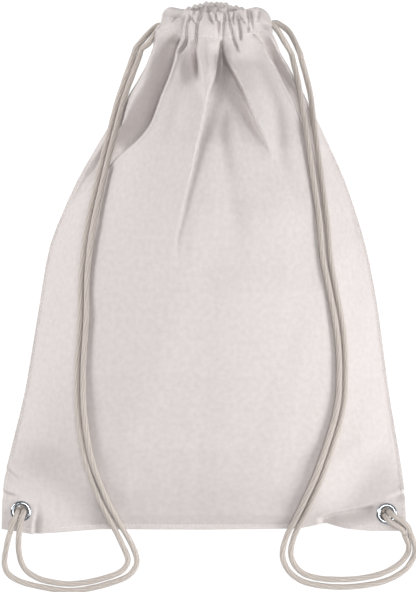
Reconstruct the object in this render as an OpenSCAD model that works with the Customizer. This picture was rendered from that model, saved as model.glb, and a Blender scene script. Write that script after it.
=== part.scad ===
// Drawstring backpack, lying on its back with its mouth towards +Y and its straps on top.
// Millimetres. The origin is on the floor, below the middle of the bag.

/* [Bag] */
// Length of the bag, from its bottom seam to the back rim of the mouth
bag_length = 466; // [440:1:480]
// Width of the bag along its bottom seam
bottom_width = 355; // [340:1:365]
// Height of the filled front above the floor
bag_depth = 96; // [90:1:100]
// Thickness of one layer of cloth
cloth = 1.2; // [0.8:0.1:1.5]
// Thickness of the sewing thread
thread_d = 1; // [0.8:0.1:1.4]

/* [Mouth] */
// Length of each hem tunnel along the gathered mouth
tunnel_length = 92; // [88:1:94]
// How far the mouth sits to the right of the bottom's middle
mouth_shift = 8; // [6:1:9]
// Width of the hem tunnels, from the rim to the stitch line
hem_width = 25; // [23:1:27]
// Thickness of the gathered hem tunnels
hem_thickness = 12; // [11:0.5:13]

/* [Drawcords] */
// Diameter of the cotton cord
cord_d = 5; // [4.6:0.1:5.2]
// Width of each stopper knot behind its eyelet
knot_d = 17; // [15:1:20]
// Length of the cord ends beyond each knot
tail_length = 16; // [10:1:18]

/* [Eyelets] */
// Outer diameter of the eyelets and their washers
eyelet_d = 18.5; // [17:0.5:20]
// Diameter of the hole that the two cords pass through
eyelet_hole_d = 10.8; // [10.6:0.1:11.4]
// Thickness of the eyelet's metal
eyelet_metal = 0.9; // [0.7:0.1:1.1]
// Height of the eyelet's rolled flange above the cloth
eyelet_crown = 1.6; // [1.2:0.1:1.8]

/* [Hidden] */

cloth_color = [0.87, 0.84, 0.83];
cord_color = [0.81, 0.76, 0.71];
thread_color = [0.93, 0.91, 0.89];
metal_color = [0.72, 0.74, 0.77];

// Bag outline: share of the length, then the left and right edges as shares of the bottom width
bottom_y = -bag_length / 2;
left_edge = [
    [0, -0.500], [0.09, -0.498], [0.26, -0.446], [0.43, -0.409], [0.54, -0.386],
    [0.66, -0.318], [0.79, -0.217], [0.91, -0.140], [1, -0.112]
];
right_edge = [
    [0, 0.500], [0.09, 0.494], [0.26, 0.455], [0.43, 0.426], [0.54, 0.398],
    [0.66, 0.347], [0.79, 0.268], [0.91, 0.193], [1, 0.152]
];
// Height of the side seams above the floor, in millimetres, along the length
seam_height = [[0, 14], [0.12, 15], [0.35, 18], [0.7, 20], [1, 21]];
// Height of the bottom seam's middle above the floor
bottom_seam_z = 6;
// Fullness of the front along the length, as a share of its greatest
fullness = [
    [0, 0], [0.01, 0], [0.03, 0.13], [0.08, 0.33], [0.16, 0.58], [0.3, 0.86], [0.45, 1],
    [0.6, 0.97], [0.72, 0.86], [0.82, 0.62], [0.88, 0.42], [0.93, 0.32], [1, 0.3]
];
greatest_swell = bag_depth - 20;
// Flat strips where the two panels are sewn together, as shares of the half width and the length
seam_strip_u = 0.985;
seam_strip_v = 0.012;
seam_line_u = 0.993;

// Eyelets, and the flat cloth that they sit on
left_eyelet_at = [-162, -216];
right_eyelet_at = [160, -218];
tab_z = 14;
tab_flat_r = 27;
tab_blend = 42;

// Hem tunnels: centre line of each at its middle, then at its ends
front_hem_mid = [210.5, 42];
front_hem_end = [213.5, 34];
back_hem_mid = [220, 6];
back_hem_end = [214, 8];
tunnel_wall = 1.5;
cord_offset = 2.75;
tunnel_stations = 14;
gap = 0.5;

// Straps: their swing axes run from the shoulder point to the corner point
left_shoulder = [-60, 185, 22];
left_corner = [-167, -234, 18];
right_shoulder = [82, 181, 22];
right_corner = [178, -236, 18];

// Routes of the strap strands, from the shoulder over the bag's front and round to the corner
left_inner_route = [
    [-57.5, 184.5, 22], [-63, 169, 23.7], [-68, 155, 25.3], [-72, 142, 29.4], [-76, 125, 37.4],
    [-84, 90, 53.3], [-90, 62, 60.5], [-95, 37, 64.5], [-100.5, -6, 67.5], [-101.5, -45, 67.5],
    [-104, -85, 64.5], [-104, -124, 59], [-98, -166, 51.4], [-87, -200, 36.2], [-75, -227, 15],
    [-66, -244, 6], [-60.5, -259, 3], [-62.5, -268, 3], [-70, -275.5, 3], [-86, -281.5, 3],
    [-105, -286, 3], [-122, -287.5, 3], [-141, -285, 3], [-162, -280, 3], [-174, -273, 3],
    [-177.5, -263, 5.5], [-175.5, -250, 13], [-172.8, -239, 18], [-171.3, -234, 18]
];
left_outer_route = [
    [-62.5, 185.5, 22], [-68, 170, 22], [-73.5, 154, 23], [-77.5, 141, 25], [-81.5, 124, 30.6],
    [-90, 87, 48.2], [-101, 35, 60.3], [-106, -7, 63.5], [-107, -46, 63.5], [-109.5, -85, 61],
    [-109.5, -125, 56.2], [-103.5, -168, 49.4], [-92.5, -202.5, 34.2], [-80.5, -230, 14],
    [-73.5, -246, 6], [-68.5, -259, 3], [-71, -267, 3], [-78, -272.3, 3], [-90, -276.5, 3],
    [-105, -280, 3], [-122, -281.5, 3], [-140, -279, 3], [-151, -275, 3], [-159, -269, 3],
    [-163, -261, 5], [-164.3, -250, 12.5], [-164, -240.5, 17.5], [-163.5, -235, 18]
];
right_inner_route = [
    [77, 180.8, 23.5], [80, 167, 28], [82.5, 153, 34.5], [84, 141, 39.5], [86, 127, 45.2],
    [89, 105, 54], [93.5, 72, 62], [98, 38, 66.5], [101, 6, 68.5], [107, -24, 68],
    [113.5, -60, 62.5], [115.5, -95, 59], [112.5, -128, 55.5], [98.5, -175, 48.5],
    [86, -207, 30.7], [78.5, -225, 15], [72, -239, 7], [68.5, -254, 3], [71, -265, 3],
    [78, -274, 3], [90, -280.5, 3], [112, -284, 3], [135, -283.5, 3], [159, -279, 3],
    [176, -270, 3], [184, -259, 4.5], [185.5, -249, 12], [183, -241, 17.5], [180.5, -235.5, 18]
];
right_outer_route = [
    [84.5, 181.5, 22], [88.5, 167, 22], [92.5, 149, 24.5], [94.5, 128, 33], [96.5, 108, 43.6],
    [101, 72, 54.7], [105, 38, 60], [107.5, 6, 64.5], [112.5, -22, 64.5], [119, -57, 59],
    [121, -95, 56], [118, -129, 53.3], [103.5, -177, 46.7], [91.5, -209, 28.6], [84, -226.5, 14.5],
    [78.5, -240, 7], [76, -254, 3], [79, -264, 3], [86, -271.5, 3], [96, -275.5, 3],
    [112, -277.5, 3], [134, -277, 3], [156, -272.5, 3], [171, -264.5, 3], [179, -254.5, 5.5],
    [179.5, -246.5, 12.5], [177.5, -241, 17.5], [175.5, -236.5, 18]
];

function share(y) = (y - bottom_y) / bag_length;
// Value from a table of [place, value] pairs, with its corners rounded off
function smooth(t, table, reach = 0.035) =
    (lookup(t - reach, table) + 2 * lookup(t, table) + lookup(t + reach, table)) / 4;
function left_x(y) = smooth(share(y), left_edge) * bottom_width;
function right_x(y) = smooth(share(y), right_edge) * bottom_width;
function ease(t) = let (s = max(0, min(1, t))) s * s * (3 - 2 * s);
// Position across the bag, from -1 at the left seam to 1 at the right seam
function across(x, y) = (2 * x - left_x(y) - right_x(y)) / (right_x(y) - left_x(y));
// Height of the seam plane, which falls towards the middle of the bottom edge
function rim_z(x, y) = lookup(share(y), seam_height);
function swell(x, y) = let (u = min(1, abs(across(x, y)) / seam_strip_u))
    greatest_swell * lookup(share(y), fullness) * pow(1 - pow(u, 2.4), 0.9);
function sag(x, y) = let (u = min(1, abs(across(x, y))))
    rim_z(x, y) * (1 - ease((u - 0.45) / 0.55)) * ease((share(y) + 0.02) / 0.1);
// 0 on the flat cloth round an eyelet, rising to 1 away from it
function off_tab(x, y) = min(
    ease((norm([x, y] - left_eyelet_at) - tab_flat_r) / tab_blend),
    ease((norm([x, y] - right_eyelet_at) - tab_flat_r) / tab_blend)
);
// Height of the bottom edge, which drops between the two corner tabs
function edge_drop(x, y) = (tab_z - bottom_seam_z) * (1 - ease(share(y) / 0.12));
function seam_z(x, y) = tab_z + off_tab(x, y) * (rim_z(x, y) - tab_z - edge_drop(x, y));
function front_z(x, y) = seam_z(x, y) + off_tab(x, y) * swell(x, y);
function back_z(x, y) = max(cloth, seam_z(x, y) - off_tab(x, y) * sag(x, y));

// Centre line of a hem tunnel as [y, z] at a place across the mouth
function mouth_share(x) = max(-1, min(1, 2 * (x - mouth_shift) / tunnel_length));
function hem_line(x, mid, end) = let (w = pow(mouth_share(x), 2)) mid + (end - mid) * w * (2 - w);

panel_columns = 26;
panel_rows = 24;
function panel_grid(mid, end, rim_gap, height) = [
    for (j = [0 : panel_rows])
        [
            for (i = [0 : panel_columns])
                let (
                    u = sin(180 * i / panel_columns - 90),
                    s = j == 0 ? 0 : seam_strip_v + (1 - seam_strip_v) * (j - 1) / (panel_rows - 1),
                    x0 = mouth_shift + u * tunnel_length / 2,
                    top = hem_line(x0, mid, end)[0] - hem_width / 2 - rim_gap,
                    y = bottom_y + s * (top - bottom_y),
                    x = (left_x(y) + right_x(y)) / 2 + u * (right_x(y) - left_x(y)) / 2
                )
                [x, y, height == "front" ? front_z(x, y) : back_z(x, y)]
        ]
];

// Two matching grids of points joined into one closed sheet
module sheet(upper, lower) {
    rows = len(upper);
    columns = len(upper[0]);
    count = rows * columns;
    function at(j, i) = j * columns + i;
    cells = [
        for (j = [0 : rows - 2])
            for (i = [0 : columns - 2])
                [at(j, i), at(j, i + 1), at(j + 1, i + 1), at(j + 1, i)]
    ];
    border = concat(
        [for (i = [0 : columns - 1]) at(0, i)],
        [for (j = [1 : rows - 1]) at(j, columns - 1)],
        [for (i = [columns - 2 : -1 : 0]) at(rows - 1, i)],
        [for (j = [rows - 2 : -1 : 1]) at(j, 0)]
    );
    faces = concat(
        [for (c = cells) each [[c[2], c[1], c[0]], [c[3], c[2], c[0]]]],
        [for (c = cells) each [[c[0], c[1], c[2]] + count * [1, 1, 1], [c[0], c[2], c[3]] + count * [1, 1, 1]]],
        [
            for (k = [0 : len(border) - 1])
                let (a = border[k], b = border[(k + 1) % len(border)])
                each [[a, b, b + count], [a, b + count, a + count]]
        ]
    );
    polyhedron(concat([for (row = upper) each row], [for (row = lower) each row]), faces, convexity = 6);
}

function unit(v) = v / norm(v);
function tangent(path, i) = unit(
    path[min(i + 1, len(path) - 1)] - path[max(i - 1, 0)]
);
function ring(centre, along, upward, r, sides) =
    let (
        side = unit(cross(along, upward)),
        up = cross(side, along)
    )
    [for (k = [0 : sides - 1]) centre + r * (cos(360 * k / sides) * side + sin(360 * k / sides) * up)];

// A round tube swept along a path of points
module tube(path, d, upward = [0, 0, 1], sides = 8) {
    last = len(path) - 1;
    points = [
        for (i = [0 : last])
            each ring(path[i], tangent(path, i), upward, d / 2, sides)
    ];
    faces = concat(
        [[for (k = [sides - 1 : -1 : 0]) k]],
        [
            for (i = [0 : last - 1])
                for (k = [0 : sides - 1])
                    let (n = (k + 1) % sides, a = i * sides, b = a + sides)
                    each [[a + k, b + n, b + k], [a + k, a + n, b + n]]
        ],
        [[for (k = [0 : sides - 1]) last * sides + k]]
    );
    polyhedron(points, faces, convexity = 6);
}

// Flattened ring of points round a hem tunnel, in the plane across it
function tunnel_section(width, thickness, per_end = 6) = [
    for (side = [1, -1])
        for (k = [0 : per_end])
            let (turn = 180 * k / per_end - 90)
            [
                side * ((width - thickness) / 2 + thickness / 2 * cos(turn)),
                side * thickness / 2 * sin(turn)
            ]
];

module hem_tunnel(mid, end) {
    outer = tunnel_section(hem_width, hem_thickness);
    inner = tunnel_section(hem_width - 2 * tunnel_wall, hem_thickness - 2 * tunnel_wall);
    n = len(outer);
    last = tunnel_stations;
    xs = [for (i = [0 : last]) mouth_shift + tunnel_length * (i / last - 0.5)];
    function loop_at(x, section) = [for (p = section) concat([x], hem_line(x, mid, end) + p)];
    points = concat(
        [for (x = xs) each loop_at(x, outer)],
        [for (x = xs) each loop_at(x, inner)]
    );
    inside = n * (last + 1);
    wall = [
        for (i = [0 : last - 1])
            for (k = [0 : n - 1])
                let (m = (k + 1) % n, a = i * n, b = a + n)
                each [[a + k, b + k, b + m], [a + k, b + m, a + m]]
    ];
    function flipped(f) = [f[2] + inside, f[1] + inside, f[0] + inside];
    faces = concat(
        wall,
        [for (f = wall) flipped(f)],
        [
            for (k = [0 : n - 1])
                let (m = (k + 1) % n)
                each [[k, m, inside + m], [k, inside + m, inside + k]]
        ],
        [
            for (k = [0 : n - 1])
                let (m = (k + 1) % n, z = n * last)
                each [[z + m, z + k, inside + z + k], [z + m, inside + z + k, inside + z + m]]
        ]
    );
    polyhedron(points, faces, convexity = 8);
}

module eyelet_bore(at) {
    translate([at[0], at[1], tab_z - 10])
        cylinder(d = eyelet_hole_d + 2 * eyelet_metal + 0.4, h = 20, $fn = 48);
}

module front_panel() {
    lower = panel_grid(front_hem_mid, front_hem_end, gap, "front");
    upper = [for (row = lower) [for (p = row) p + [0, 0, cloth]]];
    color(cloth_color)
        difference() {
            sheet(upper, lower);
            eyelet_bore(left_eyelet_at);
            eyelet_bore(right_eyelet_at);
        }
}

module back_panel() {
    upper = panel_grid(back_hem_mid, back_hem_end, -2, "back");
    lower = [for (row = upper) [for (p = row) p - [0, 0, cloth]]];
    color(cloth_color)
        difference() {
            sheet(upper, lower);
            eyelet_bore(left_eyelet_at);
            eyelet_bore(right_eyelet_at);
        }
}

module front_hem_tunnel() {
    color(cloth_color) hem_tunnel(front_hem_mid, front_hem_end);
}

module back_hem_tunnel() {
    color(cloth_color) hem_tunnel(back_hem_mid, back_hem_end);
}

// A row of thread along a hem, on the tunnel's upper face near its stitch line
module hem_stitching(mid, end) {
    margin = 5;
    path = [
        for (i = [0 : tunnel_stations])
            let (x = mouth_shift + (tunnel_length - 2 * margin) * (i / tunnel_stations - 0.5))
            concat([x], hem_line(x, mid, end) + [margin + 2 - hem_width / 2, hem_thickness / 2])
    ];
    color(thread_color) tube(path, thread_d, sides = 6);
}

module front_hem_stitching() {
    hem_stitching(front_hem_mid, front_hem_end);
}

module back_hem_stitching() {
    hem_stitching(back_hem_mid, back_hem_end);
}

// Thread through both panels, just inside a side seam
module side_stitching(u) {
    first_y = bottom_y + 8;
    last_y = 180;
    steps = 20;
    path = [
        for (i = [0 : steps])
            let (
                y = first_y + (last_y - first_y) * i / steps,
                x = (left_x(y) + right_x(y)) / 2 + u * (right_x(y) - left_x(y)) / 2
            )
            [x, y, seam_z(x, y)]
    ];
    color(thread_color) tube(path, thread_d, sides = 6);
}

module left_seam_stitching() {
    side_stitching(-seam_line_u);
}

module right_seam_stitching() {
    side_stitching(seam_line_u);
}

module bottom_seam_stitching() {
    steps = 24;
    y = bottom_y + 2.5;
    path = [
        for (i = [0 : steps])
            let (x = (bottom_width - 20) * (i / steps - 0.5))
            [x, y, seam_z(x, y)]
    ];
    color(thread_color) tube(path, thread_d, sides = 6);
}

module eyelet(at) {
    hole_r = eyelet_hole_d / 2;
    barrel_r = hole_r + eyelet_metal;
    flange_r = eyelet_d / 2;
    cloth_top = tab_z + cloth;
    foot = tab_z - cloth - 2 * eyelet_metal;
    color(metal_color)
        translate([at[0], at[1], 0])
            rotate_extrude($fn = 64)
                polygon([
                    [hole_r, foot],
                    [barrel_r, foot],
                    [barrel_r, cloth_top],
                    [flange_r, cloth_top],
                    [flange_r - 0.2, cloth_top + eyelet_crown * 0.6],
                    [flange_r - 1, cloth_top + eyelet_crown],
                    [hole_r + 1, cloth_top + eyelet_crown],
                    [hole_r + 0.2, cloth_top + eyelet_crown * 0.7],
                    [hole_r, cloth_top]
                ]);
}

module washer(at) {
    color(metal_color)
        translate([at[0], at[1], tab_z - cloth - eyelet_metal])
            rotate_extrude($fn = 64)
                translate([eyelet_hole_d / 2 + eyelet_metal, 0])
                    square([(eyelet_d - eyelet_hole_d) / 2 - eyelet_metal, eyelet_metal]);
}

module left_eyelet() {
    eyelet(left_eyelet_at);
}

module left_eyelet_washer() {
    washer(left_eyelet_at);
}

module right_eyelet() {
    eyelet(right_eyelet_at);
}

module right_eyelet_washer() {
    washer(right_eyelet_at);
}

// Path of a cord inside a hem tunnel, from its left end to its right end
function run_path(mid, end, offset) = [
    for (i = [0 : 8])
        let (x = mouth_shift + (tunnel_length - 1) * (i / 8 - 0.5))
        concat([x], hem_line(x, mid, end) + [offset, 0])
];

module front_run(offset) {
    color(cord_color) tube(run_path(front_hem_mid, front_hem_end, offset), cord_d);
}

// A back run with the turn at one end that leads it round to the front tunnel
module back_run(offset, turn_side) {
    run = run_path(back_hem_mid, back_hem_end, offset);
    ordered = turn_side > 0 ? run : [for (i = [len(run) - 1 : -1 : 0]) run[i]];
    end_x = mouth_shift + turn_side * tunnel_length / 2;
    low = back_hem_end + [offset, 0];
    high = front_hem_end + [offset, 0];
    straight = 2.5;
    bulge = 6;
    bend = [
        for (turn = [-90 : 30 : 90])
            let (
                middle = (low + high) / 2,
                half = (high - low) / 2
            )
            concat([end_x + turn_side * (straight + bulge * cos(turn))], middle + half * sin(turn))
    ];
    finish = concat([end_x + turn_side * 2 * gap], high);
    color(cord_color) tube(concat(ordered, bend, [finish]), cord_d, upward = [0, 1, 0]);
}

module left_cord_front_run() {
    front_run(-cord_offset);
}

module left_cord_back_run() {
    back_run(-cord_offset, 1);
}

module right_cord_front_run() {
    front_run(cord_offset);
}

module right_cord_back_run() {
    back_run(cord_offset, -1);
}

left_front_lead = [
    [-38.5, 210.75, 34], [-42, 210.75, 34], [-48, 207, 32], [-53, 198, 26], [-56.5, 189, 22.5],
    [-57.3, 185.4, 22]
];
left_back_lead = [
    [-38.5, 211.25, 8], [-44, 211.25, 8], [-53, 207.5, 12], [-59, 198.5, 18], [-61.5, 190, 21.5],
    [-62.3, 186.4, 22]
];
right_front_lead = [
    [54.5, 216.25, 34], [60, 216.25, 34], [67, 211, 32], [72, 200, 28], [75.4, 188.5, 25],
    [76.7, 182.5, 23.8]
];
right_back_lead = [
    [54.5, 216.75, 8], [61, 216.75, 8], [70, 212, 12], [77.5, 202, 17], [82.5, 190, 21.3],
    [84.3, 182.4, 22]
];

module left_cord_leads() {
    color(cord_color) {
        tube(left_front_lead, cord_d);
        tube(left_back_lead, cord_d);
    }
}

module right_cord_leads() {
    color(cord_color) {
        tube(right_front_lead, cord_d);
        tube(right_back_lead, cord_d);
    }
}

// Stubs of each cord's two strands, from the top of the knot up through the eyelet to the corner
left_stubs = [
    [
        [-164.6, -216, 10.4], [-164.6, -216, 14], [-165, -217.5, 17.5], [-166.5, -221, 19.6],
        [-169.3, -227, 19], [-171.1, -233.2, 18]
    ],
    [
        [-159.4, -216, 10.4], [-159.4, -216, 14], [-159.6, -217.5, 17.5], [-160.8, -221, 19.6],
        [-162.6, -227, 19], [-163.4, -234.2, 18]
    ]
];
right_stubs = [
    [
        [161.8, -216.2, 10.4], [161.8, -216.2, 14], [162.5, -216.9, 17.5], [166.5, -219.9, 20],
        [174.5, -225.5, 19.5], [179, -230.5, 18.2], [180.4, -234.8, 18]
    ],
    [
        [158.2, -219.8, 10.4], [158.2, -219.8, 14], [158.9, -220.6, 17.5], [162.3, -224.4, 20],
        [169.5, -229, 19.5], [173.8, -232.5, 18.2], [175.3, -235.9, 18]
    ]
];

module left_cord_stubs() {
    color(cord_color)
        for (stub = left_stubs)
            tube(stub, cord_d, upward = [1, 0, 0]);
}

module right_cord_stubs() {
    color(cord_color)
        for (stub = right_stubs)
            tube(stub, cord_d, upward = [1, 0, 0]);
}

// A stopper knot under the cloth, lying on the floor, with two short cord ends
module knot(at, tail_side) {
    floor_gap = 0.2;
    knot_top = 10.4;
    bulge_r = (knot_top - floor_gap) / 2;
    profile = [
        [0, floor_gap],
        for (turn = [-90 : 15 : 90])
            [knot_d / 2 - bulge_r + bulge_r * cos(turn), floor_gap + bulge_r * (1 + sin(turn))],
        [0, knot_top]
    ];
    color(cord_color) {
        translate([at[0], at[1], 0])
            rotate_extrude($fn = 32)
                polygon(profile);
        for (spread = [-1, 1])
            translate([at[0], at[1] + spread * cord_d * 0.6, cord_d / 2 + 2 * floor_gap])
                rotate([0, 90 * tail_side, 0])
                    cylinder(d = cord_d, h = knot_d / 2 + tail_length, $fn = 24);
    }
}

module left_cord_knot() {
    knot(left_eyelet_at, 1);
}

module right_cord_knot() {
    knot(right_eyelet_at, -1);
}

module left_strap_inner_strand() {
    color(cord_color) tube(left_inner_route, cord_d);
}

module left_strap_outer_strand() {
    color(cord_color) tube(left_outer_route, cord_d);
}

module right_strap_inner_strand() {
    color(cord_color) tube(right_inner_route, cord_d);
}

module right_strap_outer_strand() {
    color(cord_color) tube(right_outer_route, cord_d);
}

front_panel();
back_panel();
front_hem_tunnel();
back_hem_tunnel();
front_hem_stitching();
back_hem_stitching();
left_seam_stitching();
right_seam_stitching();
bottom_seam_stitching();
left_eyelet();
left_eyelet_washer();
right_eyelet();
right_eyelet_washer();
left_cord_front_run();
left_cord_back_run();
right_cord_front_run();
right_cord_back_run();
left_cord_leads();
right_cord_leads();
left_strap_inner_strand();
left_strap_outer_strand();
right_strap_inner_strand();
right_strap_outer_strand();
left_cord_knot();
right_cord_knot();
left_cord_stubs();
right_cord_stubs();
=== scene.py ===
"""Drawstring backpack of undyed cotton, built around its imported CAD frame.

Shapes are worked out in millimetres, in the frame's own axes: +Y from the bottom seam to the
mouth, +Z up from the floor. new_mesh() turns them into Blender's metres.
"""

import math

import bpy
import numpy as np
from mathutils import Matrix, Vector


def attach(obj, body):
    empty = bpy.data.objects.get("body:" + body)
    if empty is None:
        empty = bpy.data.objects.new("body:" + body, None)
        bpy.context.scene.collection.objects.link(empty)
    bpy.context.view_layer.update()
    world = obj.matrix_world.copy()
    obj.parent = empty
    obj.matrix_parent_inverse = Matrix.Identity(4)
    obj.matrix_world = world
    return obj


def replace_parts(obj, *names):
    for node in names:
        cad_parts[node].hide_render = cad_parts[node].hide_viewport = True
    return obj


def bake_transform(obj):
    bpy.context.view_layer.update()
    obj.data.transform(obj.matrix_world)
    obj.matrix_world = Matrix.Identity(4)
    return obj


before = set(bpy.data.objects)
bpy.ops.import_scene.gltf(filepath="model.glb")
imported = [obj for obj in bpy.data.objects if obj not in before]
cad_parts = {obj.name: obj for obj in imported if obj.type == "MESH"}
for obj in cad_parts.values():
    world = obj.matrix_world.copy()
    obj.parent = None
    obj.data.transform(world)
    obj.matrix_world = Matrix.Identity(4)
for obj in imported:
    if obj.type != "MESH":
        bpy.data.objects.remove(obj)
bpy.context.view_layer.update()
MM = 0.001

# ---------------------------------------------------------------- camera

CAMERA_HEIGHT = 1900
CAMERA_X = 2.6
CAMERA_Y = -26.4
PICTURE_LENGTH = 521  # what the picture's long side covers at the height of the bag's edge
EDGE_HEIGHT = 16
SENSOR = 36


def make_camera():
    """Straight above the bag, with the mouth at the top of the picture."""
    data = bpy.data.cameras.new("camera")
    data.sensor_width = SENSOR
    data.lens = SENSOR * (CAMERA_HEIGHT - EDGE_HEIGHT) / PICTURE_LENGTH
    camera = bpy.data.objects.new("camera", data)
    camera.location = (CAMERA_X * MM, CAMERA_Y * MM, CAMERA_HEIGHT * MM)
    bpy.context.scene.collection.objects.link(camera)
    bpy.context.scene.camera = camera


make_camera()

# ---------------------------------------------------------------- driving sizes

BAG_LENGTH = 466
BOTTOM_WIDTH = 355
BAG_DEPTH = 96
CLOTH = 0.9
LAYER_GAP = CLOTH + 0.05  # from the plane between front and back to either outside
LOWEST = 0.1  # of any point of the cloth over the floor
BOTTOM_Y = -BAG_LENGTH / 2
TUNNEL_LENGTH = 92
MOUTH_SHIFT = 8
HEM_WIDTH = 25
HEM_THICKNESS = 12
HEM_END_THICKNESS = 9
CORD_D = 5
CORD_OFFSET = 2.75
HEM_PUFF = 0.4
HEM_ROOM = 6.2  # from the outside of the front hem down to its cords
EYELET_D = 18.5
EYELET_HOLE_D = 10.8
PUNCH_D = 14.4  # hole in the cloth, under the eyelet's flange
FLAT_SIZE = (0.37, 0.50)

# Outline: share of the length, then the left and right edges as shares of the bottom width
LEFT_EDGE = [
    (0, -0.505), (0.09, -0.502), (0.26, -0.446), (0.43, -0.409), (0.54, -0.386),
    (0.66, -0.318), (0.79, -0.217), (0.85, -0.163), (0.91, -0.124), (1, -0.108),
]
RIGHT_EDGE = [
    (0, 0.500), (0.09, 0.494), (0.26, 0.455), (0.43, 0.426), (0.54, 0.398),
    (0.66, 0.347), (0.79, 0.268), (0.87, 0.212), (0.93, 0.161), (1, 0.142),
]
SEAM_HEIGHT = [(0, 14), (0.12, 15), (0.35, 18), (0.7, 20), (1, 21)]
BOTTOM_SEAM_Z = 6
FULLNESS = [
    (0, 0), (0.01, 0), (0.03, 0.13), (0.08, 0.33), (0.16, 0.58), (0.3, 0.86), (0.45, 1),
    (0.6, 0.97), (0.72, 0.86), (0.82, 0.62), (0.88, 0.42), (0.93, 0.32), (1, 0.3),
]
# How far the bottom edge strays from a straight line, across the bag from -1 to 1
BOTTOM_WAVE = [
    (-1, 1.5), (-0.85, -3), (-0.5, 0.5), (0, 0), (0.47, 1), (0.54, 3.5),
    (0.605, 6.3), (0.65, 4), (0.71, 1.5), (0.83, -0.3), (1, 0),
]
EDGE_REACH = 0.035  # as a share of the bag's length
LEFT_EYELET = (-162, -216)
RIGHT_EYELET = (160, -218)
TAB_Z = 14
TAB_FLAT = 27
TAB_BLEND = 42

# Hem tunnels: centre line as (y, z) at the middle of the mouth and at its ends
FRONT_HEM_MID = (208.5, 42)
FRONT_HEM_END = (214.5, 31)
BACK_HEM_MID = (222.5, 6.5)
BACK_HEM_END = (210.5, 12)


def table(t, pairs):
    pairs = np.array(pairs, float)
    return np.interp(t, pairs[:, 0], pairs[:, 1])


def ease(t):
    t = np.clip(t, 0, 1)
    return t * t * (3 - 2 * t)


def share(y):
    return (y - BOTTOM_Y) / BAG_LENGTH


def edge_x(y, outline):
    """An outline's place at height y, with its corners rounded over EDGE_REACH to each side."""
    t = share(y)
    place = table(t - EDGE_REACH, outline) + 2 * table(t, outline) + table(t + EDGE_REACH, outline)
    return place / 4 * BOTTOM_WIDTH


def left_x(y):
    return edge_x(y, LEFT_EDGE)


def right_x(y):
    return edge_x(y, RIGHT_EDGE)


def across(x, y):
    """Place across the bag, from -1 at the left seam to 1 at the right seam."""
    return (2 * x - left_x(y) - right_x(y)) / (right_x(y) - left_x(y))


def off_tab(x, y):
    """0 on the flat cloth round an eyelet, rising to 1 away from it."""
    away = [
        ease((np.hypot(x - at[0], y - at[1]) - TAB_FLAT) / TAB_BLEND)
        for at in (LEFT_EYELET, RIGHT_EYELET)
    ]
    return np.minimum(*away)


def seam_z(x, y):
    edge_drop = (TAB_Z - BOTTOM_SEAM_Z) * (1 - ease(share(y) / 0.12))
    return TAB_Z + off_tab(x, y) * (table(share(y), SEAM_HEIGHT) - TAB_Z - edge_drop)


def front_z(x, y):
    u = np.minimum(1, np.abs(across(x, y)) / 0.985)
    swell = (BAG_DEPTH - 20) * table(share(y), FULLNESS) * (1 - u**2.4) ** 0.9
    return seam_z(x, y) + off_tab(x, y) * swell


def back_z(x, y):
    u = np.minimum(1, np.abs(across(x, y)))
    rim = table(share(y), SEAM_HEIGHT)
    sag = rim * (1 - ease((u - 0.45) / 0.55)) * ease((share(y) + 0.02) / 0.1)
    return np.maximum(CLOTH, seam_z(x, y) - off_tab(x, y) * sag)


# ---------------------------------------------------------------- mesh tools


def new_mesh(name, points, faces, uvs=None):
    """A mesh object from points in millimetres; uvs has one pair per face corner."""
    mesh = bpy.data.meshes.new(name)
    faces = faces.tolist() if isinstance(faces, np.ndarray) else faces
    mesh.from_pydata((np.asarray(points, float) * MM).tolist(), [], faces)
    if uvs is not None:
        layer = mesh.uv_layers.new(name="flat")
        layer.data.foreach_set("uv", np.asarray(uvs, np.float32).ravel())
    mesh.polygons.foreach_set("use_smooth", [True] * len(mesh.polygons))
    mesh.update()
    obj = bpy.data.objects.new(name, mesh)
    bpy.context.scene.collection.objects.link(obj)
    return obj


def grid_faces(rows, columns, wrap=False):
    """Faces over a grid of points; with wrap, the last column joins the first."""
    last = columns if wrap else columns - 1
    j, i = np.meshgrid(np.arange(rows - 1), np.arange(last), indexing="ij")
    j, i = j.ravel(), i.ravel()
    n = (i + 1) % columns
    row, above = j * columns, (j + 1) * columns
    return np.column_stack([row + i, row + n, above + n, above + i])


def grid_uvs(rows, columns, u, v, wrap=False):
    """Face-corner uvs: u over the columns, one more of them with wrap, and v over the rows."""
    last = columns if wrap else columns - 1
    j, i = np.meshgrid(np.arange(rows - 1), np.arange(last), indexing="ij")
    j, i = j.ravel(), i.ravel()
    corners = [(j, i), (j, i + 1), (j + 1, i + 1), (j + 1, i)]
    return np.stack([np.column_stack([u[b], v[a]]) for a, b in corners], axis=1)


def smooth_path(points, step=1.2):
    """Even steps along a smooth curve through the given points."""
    points = np.array(points, float)
    p = np.vstack([2 * points[0] - points[1], points, 2 * points[-1] - points[-2]])
    t = np.linspace(0, 1, 12, endpoint=False)[:, None]
    dense = [
        0.5 * (2 * b + (c - a) * t + (2 * a - 5 * b + 4 * c - d) * t**2 + (3 * b - a - 3 * c + d) * t**3)
        for a, b, c, d in zip(p[:-3], p[1:-2], p[2:-1], p[3:])
    ]
    dense = np.vstack(dense + [points[-1:]])
    run = np.r_[0, np.cumsum(np.linalg.norm(np.diff(dense, axis=0), axis=1))]
    at = np.linspace(0, run[-1], max(3, int(run[-1] / step) + 1))
    return np.column_stack([np.interp(at, run, dense[:, k]) for k in range(3)])


def frames_along(path):
    """Unit tangents and one unit normal per point, carried along without twisting."""
    tangent = np.gradient(path, axis=0)
    tangent /= np.linalg.norm(tangent, axis=1)[:, None]
    start = np.cross(tangent[0], (0, 0, 1) if abs(tangent[0][2]) < 0.9 else (1, 0, 0))
    normals = [start / np.linalg.norm(start)]
    for t in tangent[1:]:
        n = normals[-1] - t * (normals[-1] @ t)
        normals.append(n / np.linalg.norm(n))
    return tangent, np.array(normals)


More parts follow.
